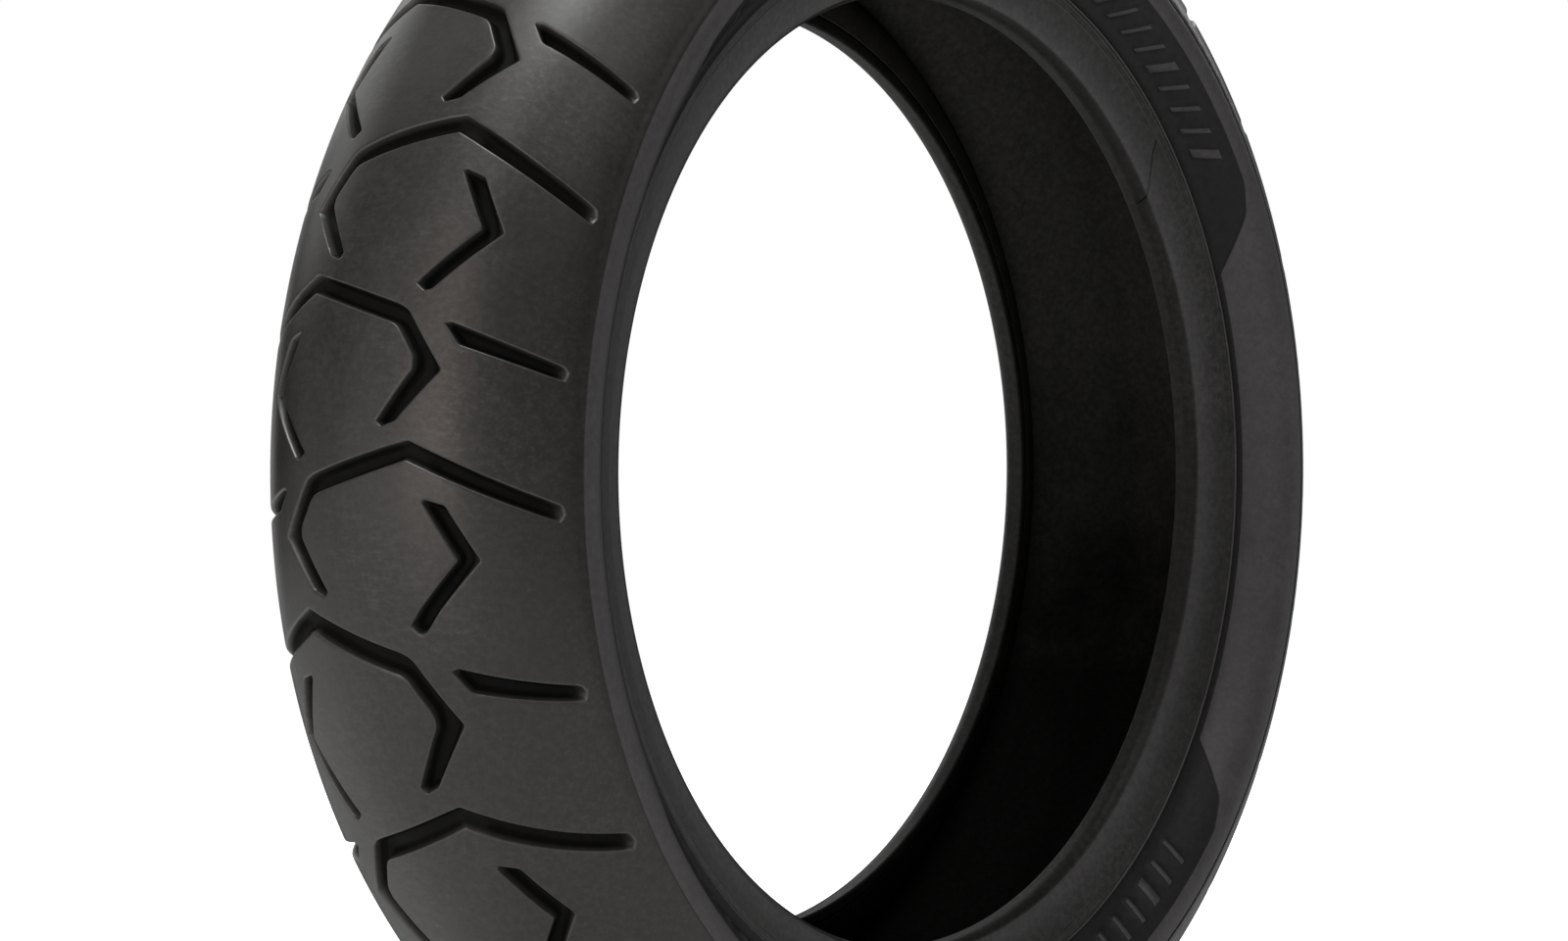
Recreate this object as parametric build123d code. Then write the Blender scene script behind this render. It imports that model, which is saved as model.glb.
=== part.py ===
from build123d import *
import math
import os

# Radial tubeless motorcycle rear tyre, 170/60 R17 class, in millimetres and degrees.
# Frame: origin at the tyre's centre, spin axis along Y, Z up. The right side is -Y, the left +Y.
# Section points are (a, r): a is the distance from the centre plane towards the right side,
# r the distance from the axis. A slope is the angle round the crown from the centre line.

# ---- driving dimensions ----
OUTER_R = 318.0          # radius at the centre of the crown
CROWN_R = 112.7          # crown arc about the centre line
SHOULDER_R = 78.4        # shoulder arc
SHOULDER_SLOPE = 22.35   # where the crown arc hands over to the shoulder arc
EDGE_SLOPE = 65.44       # tread edge
CAP_FOOT_SLOPE = 61.8    # lower edge of the cap
CAP_T = 8.5              # cap compound over the whole crown
BASE_T = 0.8             # base compound under the cap
GAP = 0.05               # bond line left between neighbouring layers
ZERO_BELT_T = 1.05       # zero-degree belt
CROSS_BELT_T = 0.7       # each crossed belt
PLY_T = 0.6              # each carcass ply
LINER_T = 0.8
FLIPPER_T = 0.5
BEAD_R = 214.0           # bead bore radius

BELT_DEPTH = CAP_T + BASE_T + 2 * GAP
CASING_DEPTH = CAP_T + BASE_T + ZERO_BELT_T + 2 * CROSS_BELT_T + 5 * GAP
PLIES_T = 2 * PLY_T + 2 * GAP   # from the carcass line to the liner or the chafer

os.makedirs("parts", exist_ok=True)


# ---- section and ring helpers ----
def to_plane(point):
    """Section point (a, r) in the XY plane, where it is revolved about Y."""
    return Vector(point[1], -point[0], 0)


def arc(*points):
    return ThreePointArc(*[to_plane(p) for p in points])


def lines(points):
    return [Line(to_plane(p), to_plane(q)) for p, q in zip(points, points[1:])]


def ring(edges):
    return revolve(make_face(Wire(edges)), axis=Axis.Y, revolution_arc=360)


def strip_ring(outer, inner):
    """Ring between two rows of points that run the same way."""
    return ring(lines(outer + inner[::-1] + outer[:1]))


def save(shape, name):
    export_step(shape, f"parts/{name}.step")


def save_both(right, name):
    """Save the solid on the -Y side and its mirror image on the +Y side."""
    save(right, name + "_right")
    save(right.mirror(Plane.XZ), name + "_left")


# ---- crown geometry ----
SHOULDER_START = math.radians(SHOULDER_SLOPE)
CROWN_CENTRE = (0.0, OUTER_R - CROWN_R)
SHOULDER_CENTRE = (
    (CROWN_R - SHOULDER_R) * math.sin(SHOULDER_START),
    CROWN_CENTRE[1] + (CROWN_R - SHOULDER_R) * math.cos(SHOULDER_START),
)


def crown(slope, depth=0.0):
    """Section point under the crown at a slope, depth below the tread surface."""
    angle = math.radians(abs(slope))
    if angle <= SHOULDER_START:
        centre, radius = CROWN_CENTRE, CROWN_R
    else:
        centre, radius = SHOULDER_CENTRE, SHOULDER_R
    a = centre[0] + (radius - depth) * math.sin(angle)
    r = centre[1] + (radius - depth) * math.cos(angle)
    return (math.copysign(a, slope), r)


def crown_edges(end, depth):
    """Three arcs across the crown from slope -end to +end at a depth."""
    middle = (SHOULDER_SLOPE + end) / 2
    slopes = [-end, -middle, -SHOULDER_SLOPE, 0, SHOULDER_SLOPE, middle, end]
    points = [crown(slope, depth) for slope in slopes]
    return [arc(*points[i:i + 3]) for i in (0, 2, 4)]


def crown_band(outer_end, outer_depth, inner_depth, inner_end=None):
    """Ring under the crown between two depths; its two faces may end at different slopes."""
    inner_end = inner_end or outer_end
    edges = crown_edges(outer_end, outer_depth) + crown_edges(inner_end, inner_depth)
    for side in (-1, 1):
        edges += lines([crown(side * outer_end, outer_depth), crown(side * inner_end, inner_depth)])
    return ring(edges)


# ---- carcass line ----
# Outer face of the carcass on the right side (a, r): from the centre line down the inner leg
# to the bead, round the bead wires and up the outer leg, which is the turn-up.
INNER_LEG = [crown(slope, CASING_DEPTH) for slope in (0, 8, 16, SHOULDER_SLOPE, 30, 39, 48)] + [
    (68.5, 275.3), (74.0, 269.0), (77.4, 263.2), (77.8, 258.4), (75.4, 254.1), (70.3, 250.4),
    (64.2, 245.4), (60.2, 240.2), (56.7, 234.4), (53.4, 228.2), (51.0, 222.4), (50.35, 219.6),
]
WRAP_BOTTOM = (53.0, 217.1)
WRAP = [(51.1, 217.6), WRAP_BOTTOM, (54.8, 217.95)]
OUTER_LEG = [
    (56.2, 219.7), (56.9, 222.4), (57.9, 226.0), (59.7, 231.0),
    (62.2, 238.0), (64.5, 243.6), (68.2, 248.0),
]
CARCASS = Spline(
    *[Vector(a, r, 0) for a, r in INNER_LEG + WRAP + OUTER_LEG],
    tangents=[Vector(1, 0, 0), Vector(0.83, 0.56, 0)],
)
SEARCH_STEPS = 600
STATION_STEPS = 2400
STATION_TURN = 7.0       # greatest turn between stations
STATION_SPACING = 5.0    # greatest distance between stations
MIN_STEP = 0.002         # least parameter step from the end of a span to a station


def nearest(point, start, end):
    """Carcass line parameter between start and end that lies nearest to a section point."""
    target = Vector(point[0], point[1], 0)
    return min(
        (start + (end - start) * i / SEARCH_STEPS for i in range(SEARCH_STEPS + 1)),
        key=lambda t: (CARCASS.position_at(t) - target).length,
    )


BEAD_BOTTOM = nearest(WRAP_BOTTOM, 0.0, 1.0)


def on_inner_leg(a, r):
    return nearest((a, r), 0.0, BEAD_BOTTOM)


def on_outer_leg(a, r):
    return nearest((a, r), BEAD_BOTTOM, 1.0)


def find_stations():
    """Parameters along the carcass line, closer together where it turns."""
    stations, last_tangent = [0.0], CARCASS.tangent_at(0)
    for i in range(1, STATION_STEPS):
        t = i / STATION_STEPS
        tangent = CARCASS.tangent_at(t)
        step = (CARCASS.position_at(t) - CARCASS.position_at(stations[-1])).length
        if tangent.get_angle(last_tangent) > STATION_TURN or step > STATION_SPACING:
            stations.append(t)
            last_tangent = tangent
    return stations + [1.0]


STATIONS = find_stations()


def offset_point(t, offset):
    """Point off the carcass line; a positive offset is to the cavity and away from the wires."""
    point, tangent = CARCASS.position_at(t), CARCASS.tangent_at(t)
    return (point.X + offset * tangent.Y, point.Y - offset * tangent.X)


def span(start, end, offset):
    """Points along the carcass line at an offset, on the stations every layer shares."""
    between = [t for t in STATIONS if start + MIN_STEP < t < end - MIN_STEP]
    return [offset_point(t, offset) for t in [start] + between + [end]]


def full_ply(end, outer_offset, inner_offset):
    """Layer across the crown, from carcass line parameter end on the left to end on the right."""
    faces = []
    for offset in (outer_offset, inner_offset):
        right = span(0.0, end, offset)
        left = [(-a, r) for a, r in right]
        faces.append(left[:0:-1] + right)
    return strip_ring(*faces)


# ---- tread grooves ----
GROOVE_DEPTH = 7.0
GROOVE_DRAFT = 5.0
SMALL_PITCH = 25.1
SEQUENCE = "SSSLLSLLSSLSL"   # small and large pitches round the tyre
LARGE_PITCH = (360 - SEQUENCE.count("S") * SMALL_PITCH) / SEQUENCE.count("L")
FIRST_PITCH = -2             # number of the first pitch in SEQUENCE
LONG_APEX = 177.45           # angle of the long groove's apex in pitch 0
DRAWN_PITCH = 25.05          # pitch in which the outlines below are drawn
CUTTER_LIFT = 2.5            # cutter start above the tread
CUTTER_REACH = 2.0           # cutter end below the groove floor
OUTLINE_MARGIN = 0.35        # outline growth besides the draft

# Each row outlines one straight run of a groove:
# (distance along the crown from the centre line, angle past the apex).
LONG_GROOVE = [
    [(94.3, 5.25), (29.5, 0.0), (28.8, 1.40), (94.3, 6.42)],
    [(29.5, 0.0), (-24.5, 2.82), (-20.5, 3.95), (28.8, 1.40)],
    [(-24.5, 2.82), (-43.0, 7.32), (-31.0, 7.40), (-20.5, 3.95)],
    [(-43.0, 7.32), (-24.2, 11.05), (-18.0, 11.55), (-14.9, 11.25), (-31.0, 7.40)],
]
VEE_GROOVE = [
    [(36.5, 4.45), (41.0, 4.40), (47.0, 5.0), (59.9, 9.0), (50.4, 9.12)],
    [(59.9, 9.0), (34.0, 13.9), (28.6, 13.75), (26.9, 13.4), (50.4, 9.12)],
]
DASH_GROOVE = [[(42.4, 16.35), (44.1, 16.2), (94.6, 18.85), (93.8, 20.0), (48.0, 17.9)]]


def pitch_size(k):
    return LARGE_PITCH if SEQUENCE[(k - FIRST_PITCH) % len(SEQUENCE)] == "L" else SMALL_PITCH


def pitch_start(k):
    """Angle where pitch k starts; pitch 0 starts half a pitch before its apex."""
    start = LONG_APEX - SMALL_PITCH / 2
    for i in range(0, k):
        start += pitch_size(i)
    for i in range(k, 0):
        start -= pitch_size(i)
    return start


def phase_angle(phase):
    """Angle round the tyre of a pattern phase; pitch k holds phases k - 0.5 to k + 0.5."""
    k = math.floor(phase + 0.5)
    return pitch_start(k) + (phase + 0.5 - k) * pitch_size(k)


def tread_surface(distance, angle):
    """Point and outward normal at a signed distance from the centre line, positive to the right."""
    length = abs(distance)
    if length <= CROWN_R * SHOULDER_START:
        slope = length / CROWN_R
    else:
        slope = SHOULDER_START + (length - CROWN_R * SHOULDER_START) / SHOULDER_R
    a, r = crown(math.degrees(slope))
    side = math.copysign(1, distance)
    turn = math.radians(angle)
    point = Vector(r * math.cos(turn), -side * a, r * math.sin(turn))
    normal = Vector(
        math.cos(slope) * math.cos(turn), -side * math.sin(slope), math.cos(slope) * math.sin(turn)
    )
    return point, normal


def run_cutter(outline, pitch, side):
    """Drafted prism for one run; side -1 swaps left and right and shifts by half a pitch."""
    shift = 0.5 if side < 0 else 0.0

    def place(distance, drawn_angle):
        phase = pitch + drawn_angle / DRAWN_PITCH + shift
        return tread_surface(side * distance, phase_angle(phase))

    corners = [place(*point)[0] for point in outline]
    distances, angles = zip(*outline)
    middle, normal = place(sum(distances) / len(outline), (min(angles) + max(angles)) / 2)
    heights = [(corner - middle).dot(normal) for corner in corners]
    lift = max(max(heights), 0.0) + CUTTER_LIFT
    x_dir = corners[0] - corners[-1] if len(outline) == 4 else corners[1] - corners[0]
    x_dir = x_dir - normal * x_dir.dot(normal)
    plane = Plane(origin=middle + normal * lift, x_dir=x_dir, z_dir=normal)

    flat = [plane.to_local_coords(corner) for corner in corners]
    x_mid = sum(p.X for p in flat) / len(flat)
    y_mid = sum(p.Y for p in flat) / len(flat)
    # Grow the outline to allow for the draft between the prism's top and the tread.
    grown = []
    for p in flat:
        growth = -p.Z * math.tan(math.radians(GROOVE_DRAFT)) + OUTLINE_MARGIN
        scale = 1.0 + growth / max(math.hypot(p.X - x_mid, p.Y - y_mid), 1e-6)
        grown.append((x_mid + (p.X - x_mid) * scale, y_mid + (p.Y - y_mid) * scale))
    edges = [Line((*p, 0), (*q, 0)) for p, q in zip(grown, grown[1:] + grown[:1])]
    height = lift - min(heights) + GROOVE_DEPTH + CUTTER_REACH
    return extrude(plane.location * make_face(Wire(edges)), amount=-height, taper=GROOVE_DRAFT)


def outward_rank(solid):
    centre = solid.center()
    return math.hypot(centre.X, centre.Z) + abs(centre.Y) * 0.5


def tread_cap():
    cap = crown_band(EDGE_SLOPE, 0.0, CAP_T, inner_end=CAP_FOOT_SLOPE)
    # Ring below the groove floor, wider and deeper than the cap, that trims the cutters.
    floor = crown_band(EDGE_SLOPE + 8, GROOVE_DEPTH, 40.0, inner_end=60)
    cutters = []
    for pitch in range(FIRST_PITCH, FIRST_PITCH + len(SEQUENCE)):
        for side in (1, -1):
            for outline in LONG_GROOVE + VEE_GROOVE + DASH_GROOVE:
                trimmed = run_cutter(outline, pitch, side) - floor
                # Keep the piece that lies outside the groove floor.
                cutters.append(max(trimmed.solids(), key=outward_rank))
    tread = cap.solids()[0].cut(*cutters)
    return max(tread.solids(), key=lambda solid: solid.volume)


# ---- belts ----
BASE_END = 57.0
# name, slope of the edge, thickness; from the outside in
BELTS = [
    ("zero_degree_belt", 44.0, ZERO_BELT_T),
    ("crossed_belt_outer", 42.0, CROSS_BELT_T),
    ("crossed_belt_inner", 46.5, CROSS_BELT_T),
]
FILLER_START, FILLER_END = 47.2, 60.0   # slopes of the belt edge filler's outer face
FILLER_STEPS = 10


def save_belts():
    depth = BELT_DEPTH
    for name, end, thickness in BELTS:
        save(crown_band(end, depth, depth + thickness - GAP), name)
        depth += thickness + GAP


def belt_edge_filler():
    """Gum wedge past the belt edges."""
    step_total = FILLER_END - FILLER_START
    outer = [
        crown(FILLER_START + i * step_total / FILLER_STEPS, BELT_DEPTH)
        for i in range(FILLER_STEPS + 1)
    ]
    start = on_inner_leg(*crown(FILLER_START, CASING_DEPTH))
    inner = span(start, on_inner_leg(71.2, 271.7), -GAP)
    return strip_ring(outer, inner)


# ---- chafer ----
TOE_A = 46.0                    # toe, from the centre plane
LAND_START, LAND_END = 46.8, 50.8   # straight land of the bead bore
HEEL_R = 8.8                    # heel rounding
HEEL_MIDDLE = -54               # angle of the heel arc's middle point
RIM_LINE = (65.25, 238.59)      # fine line where the chafer meets the sidewall


def heel_point(angle):
    """Point on the heel arc at an angle in radians."""
    return (LAND_END + HEEL_R * math.cos(angle), BEAD_R + HEEL_R + HEEL_R * math.sin(angle))


def flange_start():
    """Point where the line to the rim line leaves the heel arc tangentially, by iteration."""
    angle = math.radians(-18)
    for _ in range(30):
        point = heel_point(angle)
        angle = math.atan2(point[0] - RIM_LINE[0], RIM_LINE[1] - point[1])
    return point


def chafer():
    """Toe, bead bore, heel and flange seat."""
    start = on_inner_leg(50.6, 221.0)
    ply_face = span(start, on_outer_leg(62.55, 238.9), PLIES_T)
    toe_top = offset_point(start, PLIES_T + LINER_T)
    toe_side = (TOE_A - 0.25, BEAD_R + 2.4)
    toe = (TOE_A, BEAD_R + 0.8)
    land_start, land_end = (LAND_START, BEAD_R), (LAND_END, BEAD_R)
    flange = flange_start()
    return ring(
        lines([toe_top, toe_side, toe])
        + [arc(toe, (TOE_A + 0.22, BEAD_R + 0.22), land_start)]
        + lines([land_start, land_end])
        + [arc(land_end, heel_point(math.radians(HEEL_MIDDLE)), flange)]
        + lines([flange, RIM_LINE] + ply_face[::-1] + [toe_top])
    )


# ---- sidewall ----
# Outer face (a, r), from the tread edge down; a smooth curve, then straight lines at the foot.
WALL = [
    (84.33, 269.55), (85.05, 266.0), (84.9, 262.0), (83.4, 257.6),
    (80.3, 253.6), (76.0, 250.0), (71.4, 246.9), (68.0, 244.6),
]
WALL_FOOT = [WALL[-1], (66.9, 243.2), (65.4, 238.95)]


def sidewall():
    upper = span(on_inner_leg(74.3, 268.5), on_inner_leg(69.4, 249.8), -GAP)
    lower = span(on_outer_leg(62.7, 239.4), 1.0, PLIES_T)
    ply_end = (lower[-1][0] + 0.12, lower[-1][1] + 0.08)
    cap_foot = (crown(CAP_FOOT_SLOPE, CAP_T)[0] + 0.1, 269.5)
    return ring(
        [Spline(*[to_plane(p) for p in WALL])]
        + lines(WALL_FOOT + lower + [ply_end] + upper[::-1] + [cap_foot, WALL[0]])
    )


# ---- bead ----
WIRE_D = 1.0
WIRE_PITCH = 1.06
# middle of each row, number of wires; from the lowest row up
WIRE_ROWS = [(52.7, 2), (53.1, 3), (53.55, 4), (53.82, 4), (54.05, 4)]
LOWEST_ROW_R = 218.4
WIRES_TOP = LOWEST_ROW_R + (len(WIRE_ROWS) - 1) * WIRE_PITCH + WIRE_D / 2 + 0.1


def bead_flipper():
    """Thin strip wrapped round the bead inside the carcass."""
    start, end = on_inner_leg(53.4, 228.2), on_outer_leg(58.9, 228.8)
    return strip_ring(span(start, end, -GAP), span(start, end, -GAP - FLIPPER_T))


def bead_filler():
    """Wedge above the wires, between the two legs of the carcass."""
    inset = GAP + FLIPPER_T + GAP
    inner = span(on_inner_leg(59.9, 239.8), on_inner_leg(51.25, WIRES_TOP + 0.4), -inset)
    outer = span(on_outer_leg(57.1, WIRES_TOP + 0.1), on_outer_leg(62.5, 238.8), -inset)
    return ring(lines(inner + outer + inner[:1]))


def save_bead_wires():
    wires = []
    for row, (middle, count) in enumerate(WIRE_ROWS):
        for i in range(count):
            a = middle + (i - (count - 1) / 2) * WIRE_PITCH
            centre = to_plane((a, LOWEST_ROW_R + row * WIRE_PITCH))
            wires.append(ring([CenterArc(centre, WIRE_D / 2, 0, 360)]).solids()[0])
    save(Compound(children=list(wires)), "bead_wires_right")
    save(Compound(children=[wire.mirror(Plane.XZ) for wire in wires]), "bead_wires_left")


# ---- pieces ----
save(tread_cap(), "tread_cap")
save(crown_band(BASE_END, CAP_T + GAP, CAP_T + BASE_T), "tread_base")
save_belts()
save_both(belt_edge_filler(), "belt_edge_filler")
save(full_ply(on_outer_leg(65.1, 244.7), 0.0, PLY_T), "carcass_ply_outer")
save(full_ply(1.0, PLY_T + GAP, 2 * PLY_T + GAP), "carcass_ply_inner")
save(full_ply(on_inner_leg(50.7, 221.6), PLIES_T, PLIES_T + LINER_T), "inner_liner")
save_both(chafer(), "chafer")
save_both(sidewall(), "sidewall")
save_both(bead_flipper(), "bead_flipper")
save_both(bead_filler(), "bead_filler")
save_bead_wires()
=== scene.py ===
"""A tyre standing on a white floor, centred on the origin and spinning about Y.

Sections are drawn in mm as (a, r): a runs from the centre plane towards the right side (-Y),
r is the distance from the spin axis. Angles round the tyre run from +X towards +Z.
The tread and the sidewalls are triangulated as flat drawings of (s, v), s running along the
section and v round the tyre, and then wrapped onto it.
"""
import math

import bmesh
import bpy
import numpy as np
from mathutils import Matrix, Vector
from mathutils.geometry import delaunay_2d_cdt


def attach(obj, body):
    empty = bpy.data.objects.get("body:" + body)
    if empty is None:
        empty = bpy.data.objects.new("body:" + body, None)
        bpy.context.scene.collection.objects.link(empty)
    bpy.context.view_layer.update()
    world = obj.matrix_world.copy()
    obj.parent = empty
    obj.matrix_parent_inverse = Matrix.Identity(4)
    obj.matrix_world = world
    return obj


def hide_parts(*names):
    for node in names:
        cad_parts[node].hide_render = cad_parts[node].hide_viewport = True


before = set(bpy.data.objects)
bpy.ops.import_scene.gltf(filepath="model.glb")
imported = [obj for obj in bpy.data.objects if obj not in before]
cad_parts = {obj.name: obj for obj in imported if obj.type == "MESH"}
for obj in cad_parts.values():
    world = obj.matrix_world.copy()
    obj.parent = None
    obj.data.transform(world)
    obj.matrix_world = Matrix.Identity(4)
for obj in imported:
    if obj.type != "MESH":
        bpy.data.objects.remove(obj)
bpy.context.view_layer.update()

WELD = 3e-6                     # m, vertices closer than this are merged

# ------------------------------------------------------------------ crown section
# Each half is a flatter arc in the middle and a tighter one at the shoulder, tangent to it.
CROWN_RADIUS = 318.0
MID_ARC = 112.7                 # arc radii, mm
SHOULDER_ARC = 78.4
MID_END_DEG = 22.35
MID_END = math.radians(MID_END_DEG)
CROWN_END = math.radians(65.44)
MID_CENTRE = (0.0, CROWN_RADIUS - MID_ARC)
SHOULDER_CENTRE = ((MID_ARC - SHOULDER_ARC) * math.sin(MID_END),
                   MID_CENTRE[1] + (MID_ARC - SHOULDER_ARC) * math.cos(MID_END))
MID_HALF = MID_ARC * MID_END    # half widths along the surface
HALF_WIDTH = MID_HALF + SHOULDER_ARC * (CROWN_END - MID_END)


def crown(turn, depth):
    """(a, r) where the crown has turned by an angle in radians, at a depth under the surface."""
    mid = turn <= MID_END
    arc = np.where(mid, MID_ARC, SHOULDER_ARC) - depth
    a = np.where(mid, MID_CENTRE[0], SHOULDER_CENTRE[0]) + arc * np.sin(turn)
    r = np.where(mid, MID_CENTRE[1], SHOULDER_CENTRE[1]) + arc * np.cos(turn)
    return a, r


def crown_points(s, degrees, depth):
    """Points in metres on the crown, s from the centre line and depth under the surface."""
    across = np.abs(s)
    turn = np.where(across <= MID_HALF, across / MID_ARC,
                    MID_END + (across - MID_HALF) / SHOULDER_ARC)
    a, r = crown(turn, depth)
    t = np.radians(degrees)
    return np.stack([r * np.cos(t), -a * np.sign(s), r * np.sin(t)], -1) / 1000.0


# ------------------------------------------------------------------ flat drawing tools
def signed(points, outline):
    """Distance from each point to a closed outline, positive inside."""
    nearest = np.full(len(points), 1e18)
    inside = np.zeros(len(points), bool)
    for start, end in zip(outline, np.roll(outline, -1, 0)):
        side = end - start
        away = points - start
        t = np.clip((away @ side) / max(side @ side, 1e-12), 0, 1)
        gap = away - t[:, None] * side
        nearest = np.minimum(nearest, (gap * gap).sum(1))
        if start[1] != end[1]:
            spans = (start[1] > points[:, 1]) != (end[1] > points[:, 1])
            x = (end[0] - start[0]) * (points[:, 1] - start[1]) / (end[1] - start[1]) + start[0]
            inside ^= spans & (points[:, 0] < x)
    return np.where(inside, 1.0, -1.0) * np.sqrt(nearest)


def rounded(corners, step):
    """Counter-clockwise outline through corners of (s, v, radius), divided to a largest step."""
    corners = np.array(corners, float)
    following = np.roll(corners, -1, 0)
    if np.sum(corners[:, 0] * following[:, 1] - following[:, 0] * corners[:, 1]) < 0:
        corners = corners[::-1]
    places, radii = corners[:, :2], corners[:, 2]
    curve = []
    for i, corner in enumerate(places):
        before = places[i - 1] - corner
        after = places[(i + 1) % len(places)] - corner
        length_before, length_after = np.linalg.norm(before), np.linalg.norm(after)
        cut = min(radii[i], 0.42 * length_before, 0.42 * length_after)
        if cut < 0.05:
            curve.append(corner)
            continue
        first = corner + before * cut / length_before
        last = corner + after * cut / length_after
        parts = min(max(3, int(math.ceil(cut * 2 / 0.8))), 7)
        for j in range(parts + 1):
            u = j / parts
            curve.append((1 - u) ** 2 * first + 2 * u * (1 - u) * corner + u * u * last)
    outline = []
    for i, start in enumerate(curve):
        end = curve[(i + 1) % len(curve)]
        parts = max(1, int(math.ceil(np.linalg.norm(end - start) / step)))
        outline += [start + (end - start) * j / parts for j in range(parts)]
    return np.array(outline)


def unit_rows(vectors):
    return vectors / np.maximum(np.linalg.norm(vectors, axis=1), 1e-9)[:, None]


def outward(outline):
    """Outward mitre vector at each point of a counter-clockwise outline."""
    arriving = unit_rows(outline - np.roll(outline, 1, 0))
    leaving = unit_rows(np.roll(outline, -1, 0) - outline)
    along = unit_rows(arriving + leaving)
    stretch = np.maximum((arriving * along).sum(1), 0.5)
    return np.stack([along[:, 1], -along[:, 0]], -1) / stretch[:, None]


def ring_links(count):
    return [(i, (i + 1) % count) for i in range(count)]


def offset_chain(outline, normals, distance, tolerance=0.03):
    """Points of the outline moved out, leaving out those that meet another side."""
    points = outline + normals * distance
    if abs(distance) < 1e-9:
        return points, ring_links(len(points))
    error = np.abs(signed(points, outline) + distance)
    kept = points[error < tolerance + 0.03 * abs(distance)]
    if len(kept) < 3:
        return np.zeros((0, 2)), []
    return kept, ring_links(len(kept))


def staggered(across, along, stagger):
    """Grid of points with every second row shifted across."""
    return np.array([(s + (stagger if j % 2 else 0.0), v)
                     for j, v in enumerate(along) for s in across])


def triangulate(border, chains, loose):
    """Triangles inside a border that keep the links of each chain as edges."""
    verts, edges = [], []
    for points, links in [(border, ring_links(len(border)))] + chains + [(loose, [])]:
        base = len(verts)
        verts.extend(Vector((float(p[0]), float(p[1]))) for p in points)
        edges.extend((base + i, base + j) for i, j in links)
    result = delaunay_2d_cdt(verts, edges, [], 1, 1e-5)
    return np.array([(v.x, v.y) for v in result[0]]), result[2]


def divide(path, step):
    """Open path with each side divided into whole parts close to the step."""
    points = []
    for start, end in zip(path, path[1:]):
        start, end = np.array(start, float), np.array(end, float)
        parts = max(1, int(round(np.linalg.norm(end - start) / step)))
        points += [start + (end - start) * j / parts for j in range(parts)]
    points.append(np.array(path[-1], float))
    return np.array(points)


def catmull(points, parts):
    """Catmull-Rom curve through the points, each span divided into equal parts."""
    p = [np.array(point, float) for point in points]
    p = [2 * p[0] - p[1]] + p + [2 * p[-1] - p[-2]]
    curve = []
    for i in range(1, len(p) - 2):
        for j in range(parts):
            t = j / parts
            curve.append(0.5 * (
                (2 * p[i]) + (p[i + 1] - p[i - 1]) * t
                + (2 * p[i - 1] - 5 * p[i] + 4 * p[i + 1] - p[i + 2]) * t * t
                + (3 * p[i] - p[i - 1] - 3 * p[i + 1] + p[i + 2]) * t ** 3))
    curve.append(p[-2])
    return curve


# ------------------------------------------------------------------ mesh tools
def make_object(name, bm):
    mesh = bpy.data.meshes.new(name)
    bm.to_mesh(mesh)
    bm.free()
    mesh.shade_smooth()
    ob = bpy.data.objects.new(name, mesh)
    bpy.context.scene.collection.objects.link(ob)
    return ob


def closed_object(name, bm):
    bmesh.ops.recalc_face_normals(bm, faces=bm.faces)
    return make_object(name, bm)


def ring_point(a, r, t):
    return (r * math.cos(t) / 1000.0, -a / 1000.0, r * math.sin(t) / 1000.0)


def angle_of(vertex):
    return math.atan2(vertex.co[2], vertex.co[0])


def open_loops(bm, in_first):
    """The two open edge loops in order of angle; in_first tells them apart by position."""
    edge = {v for e in bm.edges if e.is_boundary for v in e.verts}
    first = sorted([v for v in edge if in_first(v.co)], key=angle_of)
    second = sorted([v for v in edge if not in_first(v.co)], key=angle_of)
    return first, second


def bridge(bm, first, second):
    """Quads between two closed rows of vertices."""
    for i, j in ring_links(len(first)):
        bm.faces.new((first[i], first[j], second[j], second[i]))


def close_ring(bm, first, last, rows):
    """Joins two open loops with the same number of vertices through rows of (a, r)."""
    first_angles = np.unwrap([angle_of(v) for v in first])
    last_angles = np.unwrap([angle_of(v) for v in last])
    turns = round((first_angles[0] - last_angles[0]) / (2 * math.pi))
    last_angles = last_angles + turns * 2 * math.pi
    previous = first
    for i, (a, r) in enumerate(rows):
        share = (i + 1) / (len(rows) + 1)
        angles = first_angles * (1 - share) + last_angles * share
        current = [bm.verts.new(ring_point(a, r, t)) for t in angles]
        bridge(bm, previous, current)
        previous = current
    bridge(bm, previous, last)


# ------------------------------------------------------------------ tread pattern
# The pattern repeats in short and long pitches, in degrees round the tyre.
PITCH_ORDER = "SSSLLSLLSSLSL"
FIRST_PITCH = -2
SHORT_PITCH = 25.1
LONG_PITCH = round((360 - PITCH_ORDER.count("S") * SHORT_PITCH) / PITCH_ORDER.count("L"), 7)
APEX_ANGLE = 177.45             # middle of pitch 0

DRAWN_PITCH = 25.05             # degrees in the flat drawing, stretched to each pitch
TREAD_SCALE = 5.236             # mm of drawing per degree
PERIOD = DRAWN_PITCH * TREAD_SCALE

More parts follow.
